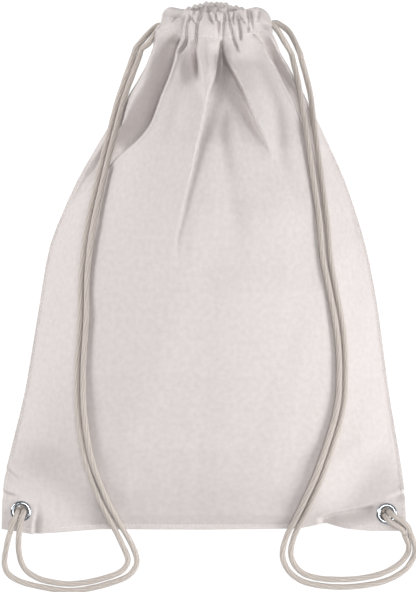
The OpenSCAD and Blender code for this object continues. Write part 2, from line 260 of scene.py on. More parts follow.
def cap(points, faces, uvs, first, centre, flip):
    """Closes the cord's ring that starts at the point first with a fan to its centre."""
    k = np.arange(CORD_SIDES)
    after = (k + 1) % CORD_SIDES
    ring = first + np.column_stack([after, k] if flip else [k, after])
    points.append(centre[None])
    tip = sum(len(p) for p in points) - 1
    faces.extend([int(a), int(b), tip] for a, b in ring)
    uvs.extend([[0.5, 0]] * (3 * CORD_SIDES))


# ---------------------------------------------------------------- cords

LEFT_INNER = [
    (-57.5, 184.5, 22), (-63, 169, 23.7), (-68, 155, 25.3), (-72, 142, 29.4), (-76, 125, 37.4),
    (-84, 90, 53.3), (-90, 62, 60.5), (-95, 37, 64.5), (-100.5, -6, 67.5), (-101.5, -45, 67.5),
    (-104, -85, 64.5), (-104, -124, 59), (-98, -166, 51.4), (-87, -200, 36.2), (-75, -227, 15),
    (-66, -244, 6), (-60.5, -259, 3), (-62.5, -268, 3), (-70, -275.5, 3), (-86, -281.5, 3),
    (-105, -286, 3), (-122, -287.5, 3), (-141, -285, 3), (-162, -280, 3), (-174, -273, 3),
    (-177.5, -263, 5.5), (-175.5, -250, 13), (-172.8, -239, 18), (-171.3, -234, 18),
]
LEFT_OUTER = [
    (-62.5, 185.5, 22), (-68, 170, 22), (-73.5, 154, 23), (-77.5, 141, 25), (-81.5, 124, 30.6),
    (-90, 87, 48.2), (-101, 35, 60.3), (-106, -7, 63.5), (-107, -46, 63.5), (-109.5, -85, 61),
    (-109.5, -125, 56.2), (-103.5, -168, 49.4), (-92.5, -202.5, 34.2), (-80.5, -230, 14),
    (-73.5, -246, 6), (-68.5, -259, 3), (-71, -267, 3), (-78, -272.3, 3), (-90, -276.5, 3),
    (-105, -280, 3), (-122, -281.5, 3), (-140, -279, 3), (-151, -275, 3), (-159, -269, 3),
    (-163, -261, 5), (-164.3, -250, 12.5), (-164, -240.5, 17.5), (-163.5, -235, 18),
]
RIGHT_INNER = [
    (77, 180.8, 23.5), (80, 167, 28), (82.5, 153, 34.5), (84, 141, 39.5), (86, 127, 45.2),
    (89, 105, 54), (93.5, 72, 62), (98, 38, 66.5), (101, 6, 68.5), (107, -24, 68),
    (113.5, -60, 62.5), (115.5, -95, 59), (112.5, -128, 55.5), (98.5, -175, 48.5),
    (86, -207, 30.7), (78.5, -225, 15), (72, -239, 7), (68.5, -254, 3), (71, -265, 3),
    (78, -274, 3), (90, -280.5, 3), (112, -284, 3), (135, -283.5, 3), (159, -279, 3),
    (176, -270, 3), (184, -259, 4.5), (185.5, -249, 12), (183, -241, 17.5), (180.5, -235.5, 18),
]
RIGHT_OUTER = [
    (84.5, 181.5, 22), (88.5, 167, 22), (92.5, 149, 24.5), (94.5, 128, 33), (96.5, 108, 43.6),
    (101, 72, 54.7), (105, 38, 60), (107.5, 6, 64.5), (112.5, -22, 64.5), (119, -57, 59),
    (121, -95, 56), (118, -129, 53.3), (103.5, -177, 46.7), (91.5, -209, 28.6),
    (84, -226.5, 14.5), (78.5, -240, 7), (76, -254, 3), (79, -264, 3), (86, -271.5, 3),
    (96, -275.5, 3), (112, -277.5, 3), (134, -277, 3), (156, -272.5, 3), (171, -264.5, 3),
    (179, -254.5, 5.5), (179.5, -246.5, 12.5), (177.5, -241, 17.5), (175.5, -236.5, 18),
]
# From inside the hem tunnels to the shoulder points
LEADS = {
    "left": [
        [(-37.2, 210.8, 30.6), (-39.8, 208.5, 30), (-44.5, 201.5, 29.5), (-49.5, 194.5, 27),
         (-55.3, 190.5, 22.5), (-57.5, 184.5, 22)],
        [(-37.2, 212.3, 13), (-39.5, 212.2, 13.1), (-43, 211, 13.5), (-48.6, 206, 15.5), (-54, 199.5, 18),
         (-60.2, 191.8, 21.6), (-62.5, 185.5, 22)],
    ],
    "right": [
        [(54.2, 211.8, 31.2), (58.6, 210.7, 31), (63.7, 205.2, 30), (69, 197, 27),
         (75.4, 186.8, 22.8), (77, 180.8, 23.5)],
        [(54.2, 212.4, 12), (59.5, 214, 12.4), (64.6, 213.6, 13), (74.5, 205.2, 16.5),
         (82.6, 188, 21.6), (84.5, 181.5, 22)],
    ],
}
# From inside the knot, up through the eyelet, to the corner points
STUBS = {
    "left": [
        [(-164.6, -216, 7), (-164.6, -216, 14), (-165, -217.5, 17.5), (-166.5, -221, 20.1),
         (-169.3, -227, 19), (-171.3, -234, 18)],
        [(-159.4, -216, 7), (-159.4, -216, 14), (-159.6, -217.5, 17.5), (-160.8, -221, 20.1),
         (-162.6, -227, 19), (-163.5, -235, 18)],
    ],
    "right": [
        [(161.8, -216.2, 7), (161.8, -216.2, 14), (162.5, -216.9, 17.5), (166.5, -219.9, 20),
         (174.5, -225.5, 19.5), (179, -230.5, 18.2), (180.45, -235.35, 18)],
        [(158.2, -219.8, 7), (158.2, -219.8, 14), (158.9, -220.6, 17.5), (162.3, -224.4, 20),
         (169.5, -229, 19.5), (173.8, -232.5, 18.2), (175.45, -236.35, 18)],
    ],
}
CORD_SIDES = 24
CORD_PLIES = 6
PLY_DEPTH = 0.1
PLY_LAY = 85  # length of cord in which a ply goes once round


def cord_rings(path):
    """Rings of a twisted cord along a path, one row of points per path point."""
    tangent, normal = frames_along(path)
    side = np.cross(tangent, normal)
    run = np.r_[0, np.cumsum(np.linalg.norm(np.diff(path, axis=0), axis=1))]
    turn = 2 * math.pi * np.arange(CORD_SIDES) / CORD_SIDES
    ply = np.abs(np.sin(CORD_PLIES / 2 * (turn[None] - 2 * math.pi * run[:, None] / PLY_LAY)))
    breath = 0.04 * np.sin(run / 7.3) + 0.03 * np.sin(run / 2.9)
    r = CORD_D / 2 + breath[:, None] - PLY_DEPTH * (1 - ply)
    rings = (
        path[:, None]
        + (r * np.cos(turn))[..., None] * normal[:, None]
        + (r * np.sin(turn))[..., None] * side[:, None]
    )
    return rings, run


def cord_mesh(name, paths):
    """One mesh of twisted cord tubes with closed ends, one tube per path."""
    points, faces, uvs = [], [], []
    for path in paths:
        first = sum(len(p) for p in points)
        rings, run = cord_rings(path)
        rows = len(path)
        points.append(rings.reshape(-1, 3))
        faces.extend((grid_faces(rows, CORD_SIDES, wrap=True) + first).tolist())
        u = np.arange(CORD_SIDES + 1) / CORD_SIDES
        uvs.extend(grid_uvs(rows, CORD_SIDES, u, run / PLY_LAY, wrap=True).reshape(-1, 2).tolist())
        cap(points, faces, uvs, first, path[0], True)
        cap(points, faces, uvs, first + (rows - 1) * CORD_SIDES, path[-1], False)
    return new_mesh(name, np.vstack(points), faces, uvs)


def dress(obj, material):
    obj.data.materials.clear()
    obj.data.materials.append(material)
    return obj


# ---------------------------------------------------------------- materials


def node_tree(name):
    material = bpy.data.materials.new(name)
    material.use_nodes = True
    tree = material.node_tree
    return material, tree, tree.nodes["Principled BSDF"]


def add(tree, kind, **settings):
    node = tree.nodes.new("ShaderNode" + kind)
    for key, value in settings.items():
        setattr(node, key, value)
    return node


def math_node(tree, operation, a, b=None):
    node = add(tree, "Math", operation=operation)
    for socket, value in zip(node.inputs, (a, b)):
        if value is None:
            continue
        if isinstance(value, (int, float)):
            socket.default_value = value
        else:
            tree.links.new(value, socket)
    return node.outputs[0]


def stripes(tree, vector, across_axis, pitch):
    """Round threads side by side: 1 on a thread's crest and 0 between two threads."""
    dot = add(tree, "VectorMath", operation="DOT_PRODUCT")
    tree.links.new(vector, dot.inputs[0])
    dot.inputs[1].default_value = [c * math.pi / pitch for c in across_axis]
    wave = math_node(tree, "SINE", dot.outputs["Value"])
    return math_node(tree, "ABSOLUTE", wave)


def streaks(tree, vector, scale, detail=2.0):
    """Noise drawn out by the scale's uneven sizes."""
    stretch = add(tree, "VectorMath", operation="MULTIPLY")
    tree.links.new(vector, stretch.inputs[0])
    stretch.inputs[1].default_value = scale
    noise = add(tree, "TexNoise")
    noise.inputs["Scale"].default_value = 1
    noise.inputs["Detail"].default_value = detail
    tree.links.new(stretch.outputs[0], noise.inputs["Vector"])
    return noise.outputs["Fac"]


def ramp(tree, factor, stops):
    node = add(tree, "ValToRGB")
    elements = node.color_ramp.elements
    for element, (place, color) in zip(elements, stops):
        element.position = place
        element.color = (*color, 1)
    for place, color in stops[2:]:
        elements.new(place).color = (*color, 1)
    tree.links.new(factor, node.inputs[0])
    return node.outputs[0]


def bump(tree, height, distance, strength, before=None):
    node = add(tree, "Bump")
    node.inputs["Distance"].default_value = distance
    node.inputs["Strength"].default_value = strength
    tree.links.new(height, node.inputs["Height"])
    if before is not None:
        tree.links.new(before, node.inputs["Normal"])
    return node.outputs["Normal"]


def cloth_material():
    """Plain-weave cotton canvas with slubs, in the flat cloth's own coordinates in metres."""
    material, tree, shader = node_tree("cotton_canvas")
    flat = add(tree, "UVMap", uv_map="flat").outputs[0]
    warp = stripes(tree, flat, (1, 0, 0), 0.00075)
    weft = stripes(tree, flat, (0, 1, 0), 0.0008)
    warp_slub = streaks(tree, flat, (1500, 70, 0))
    weft_slub = streaks(tree, flat, (70, 1400, 0))
    weave = math_node(tree, "MULTIPLY", warp, weft)
    slubs = math_node(tree, "ADD", warp_slub, weft_slub)
    height = math_node(tree, "ADD", weave, slubs)
    patches = streaks(tree, flat, (210, 210, 0), 4.0)
    faint_slubs = math_node(tree, "MULTIPLY", slubs, 0.1)
    tone = math_node(tree, "ADD", faint_slubs, math_node(tree, "MULTIPLY", patches, 0.8))
    color = ramp(tree, tone, [(0.33, CLOTH_DARK), (0.66, CLOTH_LIGHT)])
    tree.links.new(color, shader.inputs["Base Color"])
    coarse = streaks(tree, flat, (260, 230, 0), 3.0)
    first = bump(tree, coarse, 0.0006, 0.12)
    tree.links.new(bump(tree, height, 0.00012, 0.35, first), shader.inputs["Normal"])
    shader.inputs["Roughness"].default_value = 0.93
    shader.inputs["Specular IOR Level"].default_value = 0.18
    shader.inputs["Sheen Weight"].default_value = 0.12
    shader.inputs["Sheen Roughness"].default_value = 0.5
    return material


def cord_material():
    """Twisted cotton: fibres that follow the plies, with painted shade darkening the grooves between them.
    """
    material, tree, shader = node_tree("twisted_cotton_cord")
    flat = add(tree, "UVMap", uv_map="flat").outputs[0]
    fibre = streaks(tree, flat, (34, 9, 0), 4.0)
    fuzz = streaks(tree, flat, (60, 90, 0), 3.0)
    groove = stripes(tree, flat, (CORD_PLIES, -CORD_PLIES, 0), 1.0)
    fibre_tone = math_node(tree, "MULTIPLY", fibre, 0.6)
    # painted shade: the colour darkens in the grooves between the plies
    painted_groove_shade = math_node(tree, "MULTIPLY", groove, 0.3)
    tone = math_node(tree, "ADD", fibre_tone, painted_groove_shade)
    color = ramp(tree, tone, [(0.3, CORD_DARK), (0.75, CORD_LIGHT)])
    tree.links.new(color, shader.inputs["Base Color"])
    first = bump(tree, fibre, 0.0005, 0.5)
    tree.links.new(bump(tree, fuzz, 0.0002, 0.3, first), shader.inputs["Normal"])
    shader.inputs["Roughness"].default_value = 0.9
    shader.inputs["Specular IOR Level"].default_value = 0.2
    shader.inputs["Sheen Weight"].default_value = 0.15
    return material


def thread_material():
    """Sewing thread with a fine twist."""
    material, tree, shader = node_tree("cotton_thread")
    place = add(tree, "TexCoord").outputs["Object"]
    noise = streaks(tree, place, (2500, 2500, 2500), 2.0)
    color = ramp(tree, noise, [(0.35, (0.66, 0.62, 0.60)), (0.65, (0.80, 0.77, 0.75))])
    tree.links.new(color, shader.inputs["Base Color"])
    tree.links.new(bump(tree, noise, 0.0001, 0.4), shader.inputs["Normal"])
    shader.inputs["Roughness"].default_value = 0.8
    return material


def metal_material():
    """Bright nickel plate, with faint wear and smears in its roughness."""
    material, tree, shader = node_tree("nickel_plate")
    place = add(tree, "TexCoord").outputs["Object"]
    smears = streaks(tree, place, (300, 300, 300), 3.0)
    color = ramp(tree, smears, [(0.35, (0.34, 0.37, 0.41)), (0.7, (0.52, 0.55, 0.58))])
    tree.links.new(color, shader.inputs["Base Color"])
    rough = ramp(tree, smears, [(0.3, (0.12, 0.12, 0.12)), (0.7, (0.24, 0.24, 0.24))])
    tree.links.new(rough, shader.inputs["Roughness"])
    shader.inputs["Metallic"].default_value = 1
    return material


CLOTH_DARK = (0.573, 0.527, 0.514)
CLOTH_LIGHT = (0.627, 0.583, 0.570)
CORD_DARK = (0.41, 0.36, 0.325)
CORD_LIGHT = (0.60, 0.55, 0.51)
CANVAS = cloth_material()
CORD = cord_material()
THREAD = thread_material()
NICKEL = metal_material()

# ---------------------------------------------------------------- cord pieces


def strand(name, body, node, route):
    """A strap strand that swings with its body."""
    path = smooth_path(route)
    piece = dress(cord_mesh(name, [path]), CORD)
    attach(piece, body)
    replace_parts(piece, node)
    return piece


def hem_line(x, mid, end):
    """Centre line of a hem tunnel as (y, z) arrays at places across the mouth."""
    w = np.clip(2 * (np.asarray(x, float) - MOUTH_SHIFT) / TUNNEL_LENGTH, -1, 1) ** 2
    w = w * (2 - w)
    return mid[0] + (end[0] - mid[0]) * w, mid[1] + (end[1] - mid[1]) * w


def hem_half_thickness(x):
    u = 2 * (x - MOUTH_SHIFT) / TUNNEL_LENGTH
    return (HEM_THICKNESS + (HEM_END_THICKNESS - HEM_THICKNESS) * u**2) / 2


def front_run_drop(x):
    """How far the cords rest below the centre line of the front tunnel, on its inner face."""
    return hem_half_thickness(x) - CORD_D / 2 - CLOTH - 0.2


def run_path(front, offset):
    mid, end = (FRONT_HEM_MID, FRONT_HEM_END) if front else (BACK_HEM_MID, BACK_HEM_END)
    xs = MOUTH_SHIFT + (TUNNEL_LENGTH - 14) * np.linspace(-0.5, 0.5, 9)
    y, z = hem_line(xs, mid, end)
    return np.column_stack([xs, y + offset, z - front * front_run_drop(xs)])


def turned_run(offset, turn_side):
    """Cord through the back hem and round to the front hem at one end of the mouth."""
    run = run_path(False, offset)[::turn_side]
    end_x = MOUTH_SHIFT + turn_side * (TUNNEL_LENGTH / 2 - 7)
    high_z = FRONT_HEM_END[1] - front_run_drop(end_x)
    angles = np.radians(np.arange(-90, 91, 30))
    climb = (1 + np.sin(angles)) / 2
    bend = np.column_stack([
        end_x + turn_side * (0.5 + 3 * np.cos(angles)),
        BACK_HEM_END[0] + (FRONT_HEM_END[0] - BACK_HEM_END[0]) * climb + offset,
        BACK_HEM_END[1] + (high_z - BACK_HEM_END[1]) * climb,
    ])
    return np.vstack([run, bend, [[end_x - turn_side * 6, FRONT_HEM_END[0] + offset, high_z]]])


def make_cords():
    for side, turn_side, offset in (("left", 1, -CORD_OFFSET), ("right", -1, CORD_OFFSET)):
        leads = cord_mesh(f"{side}_cord_leads_visual", [smooth_path(p) for p in LEADS[side]])
        stubs = cord_mesh(f"{side}_cord_stubs_visual", [smooth_path(p) for p in STUBS[side]])
        for piece, node in ((leads, f"{side}_cord_leads"), (stubs, f"{side}_cord_stubs")):
            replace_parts(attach(dress(piece, CORD), "bag"), node)
        routes = {
            "left": (LEFT_INNER, LEFT_OUTER),
            "right": (RIGHT_INNER, RIGHT_OUTER),
        }[side]
        body = f"{side}_strap"
        strand(f"{side}_inner_strand", body, f"{side}_strap_inner_strand", routes[0])
        strand(f"{side}_outer_strand", body, f"{side}_strap_outer_strand", routes[1])
        front = cord_mesh(f"{side}_front_run_visual", [smooth_path(run_path(True, offset))])
        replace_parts(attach(dress(front, CORD), "mouth_front"), f"{side}_cord_front_run")
        back = cord_mesh(f"{side}_back_run_visual", [smooth_path(turned_run(offset, turn_side))])
        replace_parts(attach(dress(back, CORD), "bag"), f"{side}_cord_back_run")


make_cords()

# ---------------------------------------------------------------- folds


def fold(x, y, points, spread, steep=2.5, hand=1, wider=0):
    """Depth of a fold along a line of (x, y, depth) points.

    The cloth drops steeply at the line and rises again over the spread, on one hand of the
    line: 1 is the left hand of someone walking along it, and -1 the right. 0 makes a soft
    valley with the line along its floor. wider moves both slopes outwards, for a second
    layer of cloth that lies below the first.
    """
    route = smooth_path(points, step=6)
    nearest = np.full(x.shape, 1e9)
    signed = np.zeros(x.shape)
    depth = np.zeros(x.shape)
    for a, b in zip(route[:-1], route[1:]):
        d = (b - a)[:2]
        t = np.clip(((x - a[0]) * d[0] + (y - a[1]) * d[1]) / (d @ d), 0, 1)
        gap_x, gap_y = x - a[0] - t * d[0], y - a[1] - t * d[1]
        away = np.hypot(gap_x, gap_y)
        closer = away < nearest
        nearest = np.where(closer, away, nearest)
        cross = d[0] * gap_y - d[1] * gap_x
        signed = np.where(closer, np.sign(cross) * away, signed)
        depth = np.where(closer, a[2] + t * (b[2] - a[2]), depth)
    if hand == 0:
        return depth * np.exp(-((nearest / spread) ** 2))
    s = signed * hand
    drop = ease((s + steep + wider) / (2 * steep))
    rise = ease((s - steep - wider) / spread)
    crest = np.minimum(0.15 * depth, 1.6) * np.exp(-(((s + 2 * steep + wider) / (1.5 * steep)) ** 2))
    return depth * drop * (1 - rise) - crest


# The large folds of the front, from the mouth downwards
FRONT_FOLDS = [
    # points, spread, steepness, hand
    ([(-18, 212, 3), (-19, 203, 6), (-23, 194, 12), (-26, 185, 16), (-27.5, 177, 20), (-33.5, 159, 25),
      (-38, 148, 29), (-47, 123, 33), (-58, 109, 31), (-76, 94, 23), (-100, 71, 9), (-127, 45, 0)],
     28, 1.1, -1),
    ([(-7.3, 196, 0), (-7.2, 191, 4), (-6.5, 182, 9), (-5.7, 175, 13), (-4.5, 165, 12),
      (-3, 157, 6), (1, 135, 0)], 17, 1, -1),
    ([(11, 204, 3), (12.5, 196, 6), (13.4, 186, 9), (12.2, 177, 12), (10.8, 170, 13), (9, 162, 13),
      (5.5, 152, 12), (2, 140, 10), (-3, 115, 8), (-8, 92, 6), (-12, 72, 4.6), (-15, 60, 4), (-19, 42, 3.4),
      (-23, 25, 2.6), (-24.3, 12, 1.6), (-22.5, -8, 0)], 14, 1, 1),
    ([(14, 194, 2), (14.6, 190, 5), (16, 182, 9), (20.6, 173, 12), (25.2, 165, 14), (29, 157, 15),
      (33, 149, 16), (44, 121, 12), (50, 108, 7), (55, 97, 2), (57, 90, 0)], 18, 1, -1),
    ([(10, 190, 0), (9.6, 182, 1), (9, 174, 1), (7, 167, 1), (5.8, 158, 1), (3, 146, 0)],
     1.7, 1, 0),
    ([(14.2, 188, 0), (14.6, 183, 4), (14.9, 177, 6), (15.2, 170, 4), (15.6, 160, 0)], 2.4, 1, 0),
    ([(-8.8, 192, 0), (-8.6, 184, 5), (-8, 177, 7), (-6.8, 168, 5), (-5.4, 158, 0)], 2, 1, 0),
    ([(16, 180, 2), (17, 148, 9), (18, 130, 14), (18.5, 117, 13), (20, 90, 9), (22, 66, 6), (26, 42, 4),
      (29, 20, 2.4), (31, -14, 0)], 11, 2, 0),
    ([(30, 186, 0), (34, 178, 2.5), (38, 168, 2), (43, 150, 0)], 7, 2, 0),
    ([(36, 200, 0), (42.9, 182, 5.5), (47, 171, 7), (54, 151, 7.7), (61, 130, 7), (65, 91, 4.6),
      (74, 68, 3), (85, 45, 0)], 8, 2, 0),
    ([(37, 212, 0), (40.8, 204, 5), (50, 194.5, 10), (56, 184, 13), (61, 175.5, 15),
      (67.5, 162, 15), (72.5, 152, 14), (77, 143, 12), (85, 122, 7), (91, 100, 3), (96, 72, 0)],
     15, 1, 1),
    ([(-8, 176, 0), (-15, 162, 3.2), (-21, 141, 3), (-30, 112, 1.8), (-42, 80, 0)], 8, 2, 0),
    ([(-96, 60, 0), (-84, 20, 1.4), (-70, -40, 1.2), (-60, -90, 0)], 22, 2, 0),
    ([(50, 40, 0), (58, -10, 1.2), (70, -70, 0)], 18, 2, 0),
    ([(97, 104, 0), (100.7, 92, 3), (108, 75, 4), (116, 57, 4), (123, 40, 4), (130, 20, 3),
      (137, -5, 0)], 14, 1, 1),
    ([(100, -223, 0), (104, -221, 6), (108, -219.6, 8), (116, -218, 5), (127, -215.5, 0)], 16, 1, -1),
]
# Ridges of the flanks and of the middle pleat: points of (x, y, height), spread
FRONT_RIDGES = [
    ([(2, 198, 0), (2.5, 188, 4), (2.5, 177, 8), (2, 166, 8), (1, 156, 6), (0, 146, 3), (-1, 132, 0)], 7),
    ([(-40, 207, 2), (-41, 198, 7), (-43, 188, 13), (-46, 176, 18), (-51, 162, 18), (-59, 147, 15),
      (-72, 127, 11), (-86, 110, 6), (-102, 90, 0)], 10),
    ([(55, 208, 1), (60, 198, 5), (67, 186, 8), (74, 174, 9), (82, 158, 9), (91, 138, 7),
      (99, 116, 4), (104, 96, 0)], 9),
    ([(-31, 222, 2), (-33, 214, 5), (-34, 205, 5), (-36, 195, 3)], 7),
]
# Creases of the flat corners, where front and back lie together
CORNER_FOLDS = [
    ([(-182, -197, 5), (-176.3, -199, 5), (-163.6, -204, 4), (-152.7, -210.8, 0)], 8, 1, -1),
    ([(-180, -176, 4), (-172.9, -179.6, 5), (-167.9, -184.7, 3), (-160, -189, 0)], 7, 1, -1),
    ([(-150, -208, 0), (-150.2, -220, 3.5), (-151, -233.6, 4)], 7, 1, 1),
    ([(98, -222, 0), (106, -220, 4), (118, -217.4, 7), (132, -214.6, 7), (144, -212, 6), (153, -210, 4),
      (161, -207, 0)], 15, 1, -1),
    ([(180, -196, 4), (170, -200, 3), (158, -204, 0)], 8, 1, 1),
    ([(176, -160, 0), (172, -185, 1.6), (170, -200, 0)], 8, 2, 0),
]
# The gathers of the front hem: short creases from the rim downwards
FRONT_GATHERS = [
    ([(-18.5, 221, 3), (-23.5, 218.5, 4), (-28, 214.5, 4), (-29.5, 211, 0)], 1.8),
    ([(-16, 221, 4), (-17.7, 215, 4.5), (-18.5, 208, 5), (-19.4, 202, 5), (-23, 195, 4),
      (-25.6, 190, 0)], 1.4),
    ([(-8.6, 221, 4), (-13, 215, 4.5), (-14.8, 210.5, 5), (-15.6, 205, 5), (-16, 195, 5),
      (-19.8, 189, 5), (-23.5, 184, 0)], 1.5),
    ([(-13.5, 221, 3), (-12, 216, 3), (-8, 212, 3), (-6.5, 209, 0)], 1.5),
    ([(-3.6, 222, 3), (-4.6, 217, 3), (-5, 213, 0)], 1.1),
    ([(-1.8, 220, 4), (-5.7, 212, 4.5), (-6.5, 207, 5), (-7.2, 201, 5), (-7.3, 193, 4),
      (-6.8, 186, 0)], 1.4),
    ([(3.2, 220, 4), (4.4, 215, 4), (6.4, 211, 3), (8, 208, 0)], 1.6),
    ([(9, 222, 3), (9.6, 216, 3), (10, 211, 0)], 1.1),
    ([(11.5, 212, 4), (11.6, 208, 5.5), (10.7, 202, 4), (11, 196, 3), (11.4, 191, 0)], 1.3),
    ([(16.6, 221, 4), (17, 213, 5), (15.8, 205, 5.5), (14.6, 195, 5.5), (14, 188, 3)], 1.4),
    ([(20.2, 221, 4), (21.2, 213, 4.5), (22.6, 205, 4.5), (24, 199, 4.5), (26.6, 192, 4.5),
      (30.2, 185, 0)], 1.5),
    ([(24.8, 222, 4), (24, 215, 4), (25.2, 211, 3), (26, 208, 0)], 1.3),
    ([(27, 221, 4), (29, 212, 4.5), (30.3, 205, 4.5), (30.7, 198, 4), (31, 195, 0)], 1.4),
    ([(29.6, 221, 4), (31.4, 215, 4), (34, 211.5, 3), (36, 209, 0)], 1.3),
    ([(36.4, 223, 4), (37.4, 217, 4), (37.4, 207, 4), (37.6, 202, 0)], 1.2),
    ([(39.6, 223, 4), (40.4, 216, 4.5), (40.4, 206, 4.5), (42, 202, 3)], 1.3),
    ([(46, 207, 0), (50, 208.5, 2.5), (55, 207, 2)], 1.8),
    ([(-33, 222, 1.2), (-34, 212, 1.4), (-33, 200, 0)], 4),
    ([(47, 222, 1.4), (46, 214, 1.6), (47, 206, 0)], 3),
]


def corner_drop(x, y, wider=0):
    """How far the flat corners sink in their creases, outside the eyelets; see fold()."""
    total = np.zeros(np.shape(x))
    for points, spread, steep, hand in CORNER_FOLDS:
        total = total + fold(x, y, points, spread, steep, hand, wider)
    for at in (LEFT_EYELET, RIGHT_EYELET):
        total = total * ease((np.hypot(x - at[0], y - at[1]) - 11) / 5)
    return total


def ripples(x, y, seed):
    """Soft unevenness of loose cloth, a sum of long waves in seeded directions."""
    rng = np.random.default_rng(seed)
    total = np.zeros(x.shape)
    for wavelength, height in ((140, 1.0), (95, 0.8), (62, 0.5), (41, 0.32), (27, 0.2)):
        for _ in range(2):
            heading, phase = rng.uniform(0, math.pi), rng.uniform(0, 2 * math.pi)
            wave = (x * math.cos(heading) + y * math.sin(heading)) * 2 * math.pi / wavelength
            total += height * np.sin(wave + phase + 1.2 * np.sin(0.6 * wave))
    return total


# ---------------------------------------------------------------- cloth sheets

COLUMNS = 281
PANEL_ROWS = 330
OUTER_ROWS = 50
RIM_ROWS = 10
INNER_ROWS = 22


def hem_section(front):
    """Rows across a hem tunnel: (place along, place up, share of fold depth) from -1 to 1."""
    outer = [(t, 1.0, 1.0) for t in np.linspace(-1, 0.62, OUTER_ROWS)]
    rim = [
        (0.62 + 0.38 * math.cos(a), math.sin(a), max(0.0, math.sin(a)) ** 0.5 if front else 1.0)
        for a in np.linspace(math.pi / 2, -math.pi / 2, RIM_ROWS + 2)[1:-1]
    ]
    inner = [(t, -1.0, 0.0) for t in np.linspace(0.62, -0.9, INNER_ROWS)]
    return outer + rim + inner


def cloth_sheet(front):
    """Points, as rows of columns, and flat coordinates of one panel with its hem."""
    mid, end = (FRONT_HEM_MID, FRONT_HEM_END) if front else (BACK_HEM_MID, BACK_HEM_END)
    up = 1 if front else -1
    linear = np.linspace(-1, 1, COLUMNS)
    u = 0.55 * linear + 0.45 * np.sin(linear * math.pi / 2)
    hem_x = MOUTH_SHIFT + u * TUNNEL_LENGTH / 2
    line_y, line_z = hem_line(hem_x, mid, end)
    corner = np.where(u < 0, 9, 13)
    beyond = np.clip((corner - TUNNEL_LENGTH / 2 * (1 - np.abs(u))) / corner, 0, 1)
    rim_drop = (np.where(u < 0, 11, 15) if front else 9) * (1 - np.sqrt(1 - beyond**2))
    stitch_y = line_y - HEM_WIDTH / 2
    half_thick = hem_half_thickness(hem_x)
    rows, flat_v = [], []
    s = np.linspace(0, 1, PANEL_ROWS)
    s = 0.7 * s + 0.3 * (1 - np.cos(s * math.pi)) / 2
    first_y = BOTTOM_Y + table(u, BOTTOM_WAVE)
    for k in s:
        y = first_y + k * (stitch_y - first_y)
        x = (left_x(y) + right_x(y)) / 2 + u * (right_x(y) - left_x(y)) / 2
        z = front_z(x, y) + LAYER_GAP if front else np.maximum(LOWEST, back_z(x, y) - LAYER_GAP)
        # Both panels close together along the seams and leave a slit at the hem
        near_seam = ease((np.abs(u) - 0.965) / 0.035)
        near_bottom = 1 - ease(k / 0.012)
        close = np.maximum(near_seam * (1 - ease((k - 0.955) / 0.04)), near_bottom)
        z = z + close * (seam_z(x, y) + up * LAYER_GAP - z)
        rise = ease((k - 0.93) / 0.07)
        z = z + rise * (line_z + up * half_thick - z)
        rows.append(np.column_stack([x, y, z]))
        flat_v.append(k * 0.46)
    join = rows[-1]
    for along, height, _ in hem_section(front)[1:]:
        t = (along + 1) / 2
        x = join[:, 0] + (hem_x + 4 * np.maximum(0, u) ** 3 - join[:, 0]) * ease(t * 1.3)
        y = line_y + along * HEM_WIDTH / 2 - rim_drop * t
        puffed = front and height == 1
        puff = 1 + HEM_PUFF * math.sin(math.pi * min(1, t / 0.81)) if puffed else 1
        z = line_z + up * height * half_thick * puff
        rows.append(np.column_stack([x, y, z]))
        flat_v.append(0.46 + (t if height == 1 else 2 - t) * HEM_WIDTH * MM)
    grid = np.array(rows)
    fold_share = np.r_[np.ones(PANEL_ROWS), [share for *_, share in hem_section(front)[1:]]]
    return grid, fold_share, linear * FLAT_SIZE[0] / 2, np.array(flat_v)


def soften(grid, passes):
    """Averages each point with its four neighbours, leaving the border where it is."""
    for _ in range(passes):
        inner = grid[1:-1, 1:-1]
        mean = (grid[:-2, 1:-1] + grid[2:, 1:-1] + grid[1:-1, :-2] + grid[1:-1, 2:]) / 4
        grid[1:-1, 1:-1] = inner + 0.6 * (mean - inner)
    return grid


def fold_front(grid, fold_share):
    x, y = grid[..., 0].copy(), grid[..., 1].copy()
    depth = np.zeros(x.shape)
    for points, spread, steep, hand in FRONT_FOLDS:
        depth += fold(x, y, points, spread, steep, hand)
    for points, width in FRONT_GATHERS:
        crease = fold(x, y, points, 0.75 * width, 1, 0)
        dip = fold(x, y, points, 2.6 * width, 1, 0)
        depth += 1.6 * crease + 0.3 * dip
    # In the hem, no crease is deeper than the room over the cords
    in_hem = ease((np.arange(len(grid)) - PANEL_ROWS + 8) / 8)[:, None]
    room = HEM_ROOM - 3 * np.linspace(-1, 1, COLUMNS) ** 2
    depth += in_hem * (room * np.tanh(depth / room) - depth)
    inside = ease((1 - np.abs(across(x, np.minimum(y, 200)))) / 0.05)
    inside = np.maximum(inside, ease((y - 190) / 12))
    calm = off_tab(x, y) * inside * ease((y - BOTTOM_Y) / 25) * (1 - 0.6 * ease((y - 120) / 60))
    depth += 0.55 * calm * ripples(x, y, 4)
    depth *= 0.35 + 0.65 * off_tab(x, y)
    floor = back_z(x, np.minimum(y, 198)) + 3
    panel = np.arange(len(grid))[:, None] < PANEL_ROWS
    z = grid[..., 2] - depth * fold_share[:, None]
    grid[..., 2] = np.where(panel, np.maximum(z, np.minimum(floor, grid[..., 2])), z)
    for points, spread in FRONT_RIDGES:
        ridge = fold(x, y, points, spread, 1, 0)
        grid[..., 2] += ridge * inside * fold_share[:, None]
    grid[..., 2] = np.maximum(LOWEST + 2 * LAYER_GAP, grid[..., 2] - corner_drop(x, y))
    rim = (~panel[:, 0]) & (fold_share < 1)
    pull = np.where(rim | (np.arange(len(grid)) > PANEL_ROWS + OUTER_ROWS - 12), 1, 0)[:, None]
    grid[..., 1] -= 0.45 * np.clip(depth, -1, 5) * pull
    return grid


